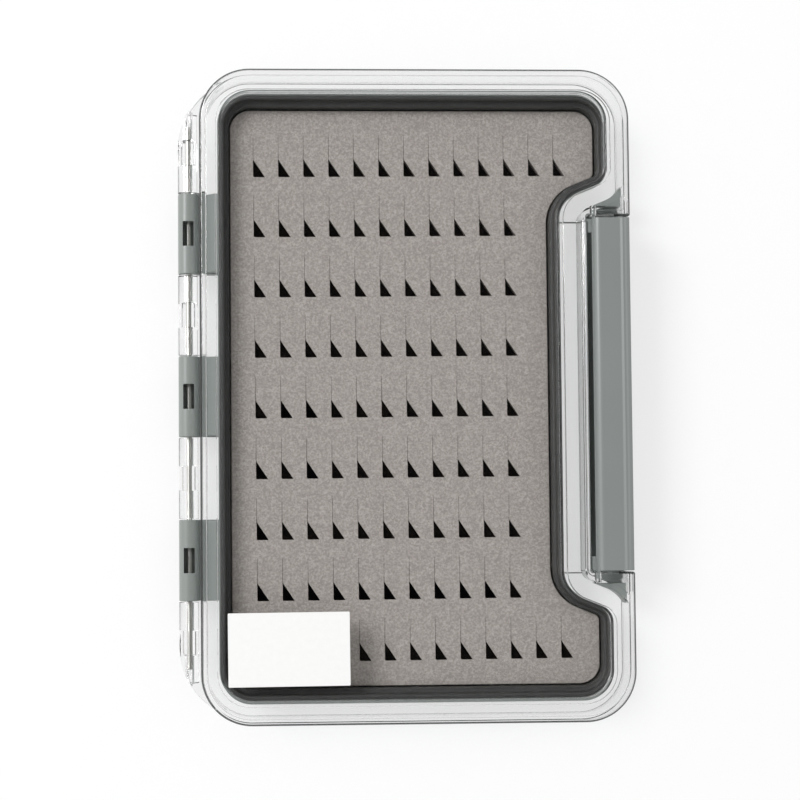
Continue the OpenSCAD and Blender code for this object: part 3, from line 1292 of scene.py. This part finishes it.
@dataclass(frozen=True)
class Lid(Part):
    """The clear lid: top plate, skirt, seal rib, the wall of the latch's recess, lugs and four knuckles."""

    plan: BoxPlan
    hinge: Hinge
    top_t: float = 2.0
    skirt_t: float = 1.6
    skirt_z: float = 5.0
    window_edge: float = 0.3
    window_move: Point = (-0.4, -0.37)
    window_dip: float = 0.5
    rib_out: float = -0.05
    rib_w: float = 0.7
    rib_z: float = 13.85
    recess_wall: Point = (5.3, 6.8)
    recess_wall_z: float = 9.0
    lug_t: float = 2.0
    lug_z: float = 13.0
    web_t: float = 3.2
    web_edge: float = 0.4
    end_web_r: float = 22.0
    relief_top: float = 10.0
    stub_bore_r: float = 0.95
    stub_x: float = 54.4
    stub_z: float = 16.25

    @property
    def under(self) -> float:
        """Height of the top plate's underside."""
        return self.plan.body_h - self.top_t

    def cap(self) -> Object:
        """Builds the plate and the skirt in one.

        Returns:
            The hollow cap, with the window sunk into its top.
        """
        plan, top, move = self.plan, self.plan.body_h, self.window_move
        dip = top - self.window_dip
        cap = stack("clear_lid", plan.lid_edge, edges(self.skirt_z, top, 0.3, 1.0, 6))
        hollow = stack(
            "hollow",
            lambda inset: plan.outline(self.skirt_t + inset),
            [(-0.2, self.skirt_z - 1), (-0.2, self.skirt_z), *edges(self.skirt_z + 0.2, self.under, 0, 0.5)],
        )
        # The window's wall leans outwards and breaks into a rounded edge at the top
        lean = [(0.2, dip), (0.06, dip + 0.06), (0.0, top - 0.3)]
        brim = [(-0.05, top - 0.1), (-0.18, top), (-0.18, top + 1)]
        window = stack(
            "window",
            lambda inset: [(x + move[0], y + move[1]) for x, y in plan.seal_line(self.window_edge - inset)],
            lean + brim,
        )
        return work(cap, Join.DIFFERENCE, [hollow, window])

    def ribs(self) -> list[Object]:
        """Builds the seal rib and the wall round the latch's recess.

        Returns:
            The two solids, still apart.
        """
        plan, under, bottom = self.plan, self.under + SINK, self.recess_wall_z
        out, inner = self.rib_out, self.rib_out - self.rib_w
        corners = ((out, under, 0), (out, self.rib_z, 0.05), (inner, self.rib_z, 0.05), (inner, under, 0))
        rib = sweep("seal_rib", plan.seal_line, [(*corner, 0.0, plan.seal_press) for corner in corners])
        near, far = self.recess_wall
        section = [(far, under, 0), (far, bottom, 0.3), (near, bottom, 0.3), (near, under, 0)]
        wall = sweep("recess_wall", plan.seal_line, section)
        across = (0, plan.lid_right - self.skirt_t + SINK)
        keep = block("keep", across, (-plan.full_y, plan.full_y), (0, plan.body_h))
        return [rib, work(wall, Join.INTERSECT, [keep])]

    def lug(self, side: int) -> Object:
        """Builds the lug that carries one end of the latch.

        Args:
            side: 1 for the upper end, -1 for the lower.

        Returns:
            The new object.
        """
        plan = self.plan
        low, high = sorted((side * plan.lug_y, side * (plan.lug_y + self.lug_t)))
        across = (plan.recess_x - SINK, plan.lid_right - self.skirt_t + SINK)
        return block("lug", across, (low, high), (self.lug_z, self.under + SINK))

    def end_plan(self, side: int, inset: float) -> Outline:
        """Gives the curve in which the hinge runs into the lid's corner.

        Args:
            side: 1 for the upper end, -1 for the lower.
            inset: How far it moves in.

        Returns:
            Its points.
        """
        hinge, plan, r = self.hinge, self.plan, self.end_web_r - inset
        centre_x = hinge.x - hinge.knuckle_r + self.end_web_r
        centre_y = hinge.end - self.end_web_r / 2
        limit, low = plan.lid_left + plan.corner_r, hinge.end - hinge.knuckle_l
        far = math.degrees(math.acos(max(-1.0, min(1.0, (limit - centre_x) / r))))
        near = math.degrees(math.asin((low - centre_y) / r)) if abs(low - centre_y) < r else 0.0
        curve = arc(centre_x, centre_y, r, far, 180 - near, 32)
        return [(x, side * y) for x, y in [*curve, (limit, low)]]

    def end_web(self, side: int) -> Object:
        """Builds the web from the last knuckle into the lid's corner.

        Args:
            side: 1 for the upper end, -1 for the lower.

        Returns:
            The new object.
        """
        low, high = self.hinge.z - self.web_t / 2, self.hinge.z + self.web_t / 2
        slab, inner = edges(low, high, self.web_edge, self.web_edge), self.skirt_t - SINK
        web = stack("end_web", lambda inset: self.end_plan(side, inset), slab)
        inside = stack("inside", lambda inset: self.plan.outline(inner + inset), [(0, 0), (0, 30)])
        return work(web, Join.DIFFERENCE, [inside])

    def end_knuckle(self, side: int) -> Object:
        """Turns the last knuckle and trims it to the end web's curve.

        Args:
            side: 1 for the upper end, -1 for the lower.

        Returns:
            The new object.
        """
        hinge = self.hinge
        knuckle = hinge.knuckle(3 * side)
        low, high = sorted((side * (hinge.end - self.end_web_r / 2 + SINK), 0.0))
        keep = stack("keep", lambda inset: self.end_plan(side, inset), [(0, 0), (0, 30)])
        work(keep, Join.UNION, [block("near", (hinge.x - 9, hinge.x + 9), (low, high), (0, 30))])
        return work(knuckle, Join.INTERSECT, [keep])

    def build(self, finish: Material) -> Object:
        """Builds the whole lid.

        Args:
            finish: Its material.

        Returns:
            The piece, dressed.
        """
        hinge, plan = self.hinge, self.plan
        cap = self.cap()
        added = self.ribs()
        for side in (-1, 1):
            added += [self.lug(side), self.end_web(side), self.end_knuckle(side), hinge.knuckle(side)]
        across, half = (hinge.x, plan.lid_left + 0.3), self.web_t / 2
        for spot in hinge.lid_spots:
            added.append(block("web", across, hinge.span(spot), (hinge.z - half, hinge.z + half), 0.2))
        work(cap, Join.UNION, added)
        cuts = [hinge.bore(), *(hinge.window(spot) for spot in hinge.lid_spots)]
        across = (hinge.x - hinge.knuckle_r - 1, plan.lid_left + self.skirt_t + 1)
        for spot in hinge.tray_spots:
            cuts.append(block("relief", across, hinge.span(spot, hinge.gap), (0, self.relief_top)))
        reach = plan.lug_y + self.lug_t + 1
        cuts.append(rod("stub_bore", self.stub_x, self.stub_z, self.stub_bore_r, (-reach, reach)))
        work(cap, Join.DIFFERENCE, cuts)
        return dress(smooth(cap), finish, Body.LID, "clear_plastic", "lid")


@dataclass(frozen=True)
class Label(Part):
    """The blank sticker in the lid's lower corner."""

    corner: Point = (-50.87, -82.55)
    width: float = 34.4
    height: float = 20.8
    thickness: float = 0.15
    z: float = 17.5
    turn: float = 0.38
    corner_r: float = 0.3

    def outline(self, inset: float) -> Outline:
        """Gives the sticker's outline, turned as it was stuck on.

        Args:
            inset: How far it moves in.

        Returns:
            Its points.
        """
        r = max(self.corner_r - inset, 0.02)
        low, w, h = inset, self.width - inset, self.height - inset
        c, s = math.cos(math.radians(self.turn)), math.sin(math.radians(self.turn))
        flat = rounded([(low, low, r), (w, low, r), (w, h, r), (low, h, r)])
        return [(self.corner[0] + c * x - s * y, self.corner[1] + s * x + c * y) for x, y in flat]

    def build(self, finish: Material) -> Object:
        """Builds the sticker."""
        film = stack("blank_sticker", self.outline, edges(self.z, self.z + self.thickness, 0.0, 0.05))
        return dress(smooth(film), finish, Body.LID, "white_paper", "label")


@dataclass(frozen=True)
class SideLatch(Part):
    """The long latch: plate, outer wall and hook in one section, with a barrel and stubs along its pivot."""

    x: float = 54.4
    z: float = 16.25
    barrel_r: float = 1.65
    right: float = 64.75
    wall_t: float = 1.6
    bottom: float = 1.5
    hook_top: float = 4.5
    hook_t: float = 1.3
    hook_tip: float = 62.35
    hook_lead: float = 0.6
    edge: float = 0.35
    length: float = 101.2
    lug_gap: float = 0.35
    stub_r: float = 0.9
    stub_l: float = 1.9
    barrel_end: float = 4.0
    slot_edge: float = 2.0
    hollow: float = 0.35
    hollow_end: float = 2.8
    crest: tuple[tuple[float, float, float], ...] = (
        (2.05, 0.05, 0.2),
        (1.55, 0.15, 0.2),
        (1.0, 0.0, 0.2),
        (0.0, 0.05, 0.5),
    )
    end_low: float = 1.1

    def section(self) -> Outline:
        """Gives the latch's section in X and Z. The crest's corners are in from the outer face, and down.

        Returns:
            Its points.
        """
        top, right = self.z + self.barrel_r, self.right
        inner = right - self.wall_t
        corners = [
            (self.x, top - self.wall_t, 0.0),
            (self.x, top - self.hollow, 0.0),
            (right - self.hollow_end, top - self.hollow, 0.8),
            *((right - inwards, top - down, r) for inwards, down, r in self.crest),
            (right, self.bottom, 0.8),
            (inner, self.bottom, 0.3),
            (inner, self.hook_top - self.hook_t - self.hook_lead, 0.3),
            (self.hook_tip, self.hook_top - self.hook_t, 0.25),
            (self.hook_tip, self.hook_top, 0.25),
            (inner, self.hook_top, 0.2),
            (inner, top - self.wall_t, 1.2),
        ]
        return rounded(corners, 5)

    def build(self, finish: Material) -> Object:
        """Builds the latch.

        Args:
            finish: Its material.

        Returns:
            The piece, dressed.
        """
        end, top, r = self.length / 2, self.z + self.barrel_r, self.slot_edge
        tip = end + self.lug_gap + self.stub_l
        latch = extrusion("side_latch", self.section(), (-end, end), self.edge)
        barrel = rod("barrel", self.x, self.z, self.barrel_r, (-end, end), self.edge)
        work(latch, Join.UNION, [barrel, rod("stubs", self.x, self.z, self.stub_r, (-tip, tip), 0.15)])
        far, low = self.x - self.barrel_r - 1, self.z - self.barrel_r - 1
        turns = [math.pi / 12 * k for k in range(7)]
        curve = [(self.x + r * (1 - math.cos(a)), top - self.hollow - r * (1 - math.sin(a))) for a in turns]
        cuts = []
        slot, shoulder = ("slot", low, end - self.barrel_end), ("shoulder", self.z - self.end_low, end + 1)
        for name, foot, reach in (slot, shoulder):
            cut = [(far, foot), (self.x, foot), *curve, (self.x + r, top + 1), (far, top + 1)]
            cuts.append(solid(name, [[(u, y, v) for u, v in cut] for y in (-reach, reach)]))
        work(latch, Join.DIFFERENCE, cuts)
        return dress(smooth(latch), finish, Body.LATCH, "latch_plastic", "latch")


# Studio


@dataclass(frozen=True)
class Camera:
    """The photograph's camera, from its measured corners: almost straight above, a little to the left."""

    position: tuple[float, float, float] = (-42.8, -30.8, 467.3)
    turn: tuple[float, float, float] = (2.3637, -2.1572, -0.3999)
    lens_mm: float = 71.49
    sensor_mm: float = 36.0
    shift: Point = (0.1048, 0.0472)

    def build(self) -> Object:
        """Sets the camera up and makes it the scene's own.

        Returns:
            The camera.
        """
        data = bpy.data.cameras.new("camera")
        data.lens, data.sensor_width, data.sensor_fit = self.lens_mm, self.sensor_mm, "HORIZONTAL"
        data.clip_start, data.clip_end = 0.01, 20.0
        data.shift_x, data.shift_y = self.shift
        camera = link("camera", data)
        camera.location = Vector(self.position) * MM
        camera.rotation_euler = Euler([math.radians(a) for a in self.turn], "XYZ")
        bpy.context.scene.camera = camera
        return camera


@dataclass(frozen=True)
class Softbox:
    """One square soft lamp that points at the box."""

    name: str
    position: tuple[float, float, float]
    side: float
    watts: float

    def build(self) -> Object:
        """Hangs the lamp and points it at the box's middle.

        Returns:
            The lamp.
        """
        data = bpy.data.lights.new(self.name, "AREA")
        data.shape, data.size, data.energy = "SQUARE", self.side, self.watts
        lamp = link(self.name, data)
        lamp.location = self.position
        lamp.rotation_euler = (-Vector(self.position)).to_track_quat("-Z", "Y").to_euler()
        return lamp


@dataclass(frozen=True)
class Studio:
    """A white paper sweep under one large softbox at the upper left and an even, dim room."""

    lamps: tuple[Softbox, ...] = (Softbox("key", (-1.35, 0.7, 1.45), 0.85, 26.0),)
    room: float = 0.66
    ceiling: str = "#1E1E1F"
    walls: str = "#D0D0D0"
    ceiling_from: Point = (0.82, 0.925)
    floor_side: float = 12.0
    paper: SweepPaper = field(default_factory=SweepPaper)

    def floor(self) -> Object:
        """Lays the sweep.

        Returns:
            The sweep.
        """
        half = self.floor_side / 2 / MM
        corners = ((-half, -half), (half, -half), (half, half), (-half, half))
        sheet = solid("sweep", [[(x, y, z) for x, y in corners] for z in (-3.0, -0.02)])
        sheet.data.materials.append(self.paper.build())
        return sheet

    def world(self) -> None:
        """Lights the room. The camera sees plain white beyond the sweep."""
        world = bpy.data.worlds.new("room")
        world.use_nodes = True
        tree = world.node_tree
        tree.nodes.clear()
        path = add_node(tree, "LightPath").outputs
        up = add_node(tree, "SeparateXYZ", {0: add_node(tree, "TexCoord").outputs["Generated"]})
        low, high = self.ceiling_from
        height = add_node(
            tree,
            "MapRange",
            {"Value": up.outputs["Z"], "From Min": low, "From Max": high},
            interpolation_type="SMOOTHSTEP",
        )
        seen = add_node(tree, "Mix", blend(height, self.walls, self.ceiling), data_type="RGBA")
        mirrored = add_node(tree, "Background", {"Color": seen.outputs[2], "Strength": 1.0})
        dim = add_node(tree, "Background", {"Color": WHITE, "Strength": self.room})
        white = add_node(tree, "Background", {"Color": WHITE, "Strength": 1.0})
        lit = add_node(tree, "MixShader", {0: path["Is Diffuse Ray"], 1: mirrored, 2: dim})
        mix = add_node(tree, "MixShader", {0: path["Is Camera Ray"], 1: lit, 2: white})
        add_node(tree, "OutputWorld", {"Surface": mix})
        world.cycles.sampling_method = "NONE"
        bpy.context.scene.world = world

    def build(self) -> None:
        """Sets the studio up."""
        self.floor()
        self.world()
        for lamp in self.lamps:
            lamp.build()
        Camera().build()
        bpy.context.scene.view_settings.view_transform = "Standard"


def main() -> None:
    """Builds the fly box and its studio."""
    logging.basicConfig(level=logging.INFO, format="%(name)s: %(message)s")
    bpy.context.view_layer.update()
    plan, hinge = BoxPlan(), Hinge()
    clear = ClearPolycarbonate().build()
    grey = MouldedPlastic("moulded_grey_abs", "#8C918E", "#868B88").build()
    latch_grey = MouldedPlastic("moulded_grey_latch_abs", "#898E8C", "#838886").build()
    grey_foam = ClosedCellFoam("cut_grey_eva_foam", "#BDB5B0", "#B0A8A3", "#98918C").build()
    black_foam = ClosedCellFoam("cut_black_eva_foam", "#3C322D", "#302722", "#241D1A").build()
    Tray(plan, hinge).build(grey)
    FoamBacking(plan).build(black_foam)
    SlitFoam(plan).build(grey_foam)
    Gasket(plan).build(SiliconeRubber().build())
    HingePin(hinge).build(DrawnSteel().build())
    Lid(plan, hinge).build(clear)
    Label().build(StickerVinyl().build())
    SideLatch().build(latch_grey)
    Studio().build()


if __name__ == "__main__":
    main()
